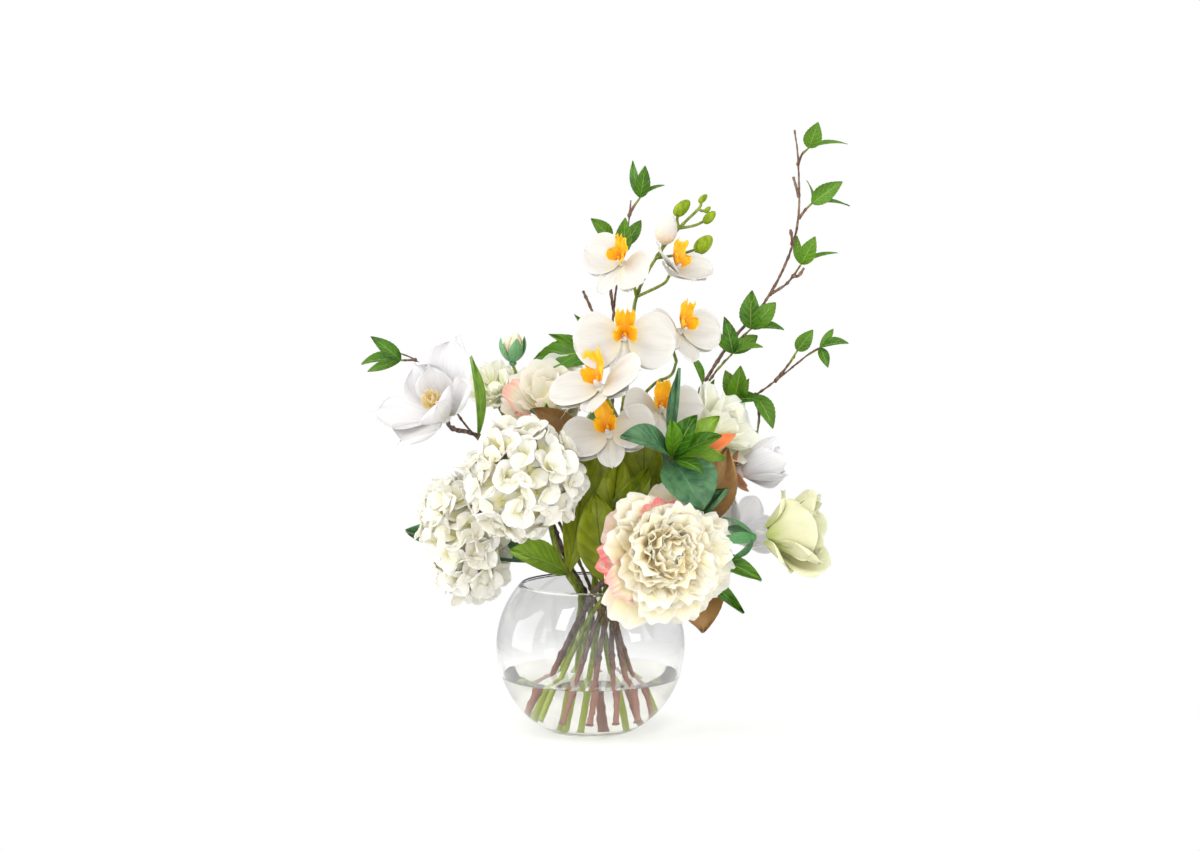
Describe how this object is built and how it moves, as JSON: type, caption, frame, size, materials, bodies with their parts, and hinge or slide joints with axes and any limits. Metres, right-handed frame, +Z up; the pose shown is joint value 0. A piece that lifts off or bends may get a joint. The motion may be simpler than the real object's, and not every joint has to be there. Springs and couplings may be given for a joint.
{
  "type": "floral table centerpiece",
  "caption": "Flower arrangement with leafy twigs, orchids, peonies, magnolia, rose and hydrangea standing in a round glass bowl of water.",
  "frame": {"origin": "centre of the bowl's flat foot, on the surface that it stands on", "axes": "+Z up through the bowl, -Y towards the arrangement's front, +X to its right as seen from the front"},
  "size_m": [0.5213, 0.2628, 0.644],
  "materials": {
    "glass": "polished",
    "water": "gloss",
    "twig": "satin",
    "orchid_stem": "satin",
    "woody_stem": "satin",
    "leafy_stem": "satin",
    "peony_petal": "matte",
    "stamen": "matte",
    "orchid_lip": "matte",
    "orchid_petal": "matte",
    "magnolia_petal": "matte",
    "rose_petal": "matte",
    "hydrangea_petal": "matte"
  },
  "bodies": {
    "root": {"bowl": "glass", "water": "water", "twig_right": "twig", "twig_centre": "twig", "twig_left": "twig", "orchid_high_stem": "orchid_stem", "orchid_low_stem": "orchid_stem", "magnolia_left_stem": "woody_stem", "magnolia_right_stem": "woody_stem", "magnolia_low_stem": "woody_stem", "hydrangea_front_stem": "leafy_stem", "hydrangea_side_stem": "leafy_stem", "peony_front_stem": "leafy_stem", "peony_back_stem": "leafy_stem", "peony_right_stem": "leafy_stem", "rose_stem": "leafy_stem", "peony_left_stem": "leafy_stem", "peony_bud": "peony_petal", "peony_front_bloom": "peony_petal", "peony_back_bloom": "peony_petal", "peony_right_bloom": "peony_petal", "peony_left_bloom": "peony_petal", "magnolia_left_stamens": "stamen", "orchid_lip_1": "orchid_lip", "orchid_bloom_1": "orchid_petal", "orchid_lip_2": "orchid_lip", "orchid_bloom_2": "orchid_petal", "orchid_lip_3": "orchid_lip", "orchid_bloom_3": "orchid_petal", "orchid_lip_4": "orchid_lip", "orchid_bloom_4": "orchid_petal", "orchid_lip_5": "orchid_lip", "orchid_bloom_5": "orchid_petal", "orchid_lip_6": "orchid_lip", "orchid_bloom_6": "orchid_petal", "orchid_lip_7": "orchid_lip", "orchid_bloom_7": "orchid_petal", "orchid_lip_8": "orchid_lip", "orchid_bloom_8": "orchid_petal", "magnolia_left_bloom": "magnolia_petal", "magnolia_right_bloom": "magnolia_petal", "magnolia_low_bloom": "magnolia_petal", "rose_bloom": "rose_petal", "hydrangea_front_head": "hydrangea_petal", "hydrangea_side_head": "hydrangea_petal"}
  },
  "joints": []
}
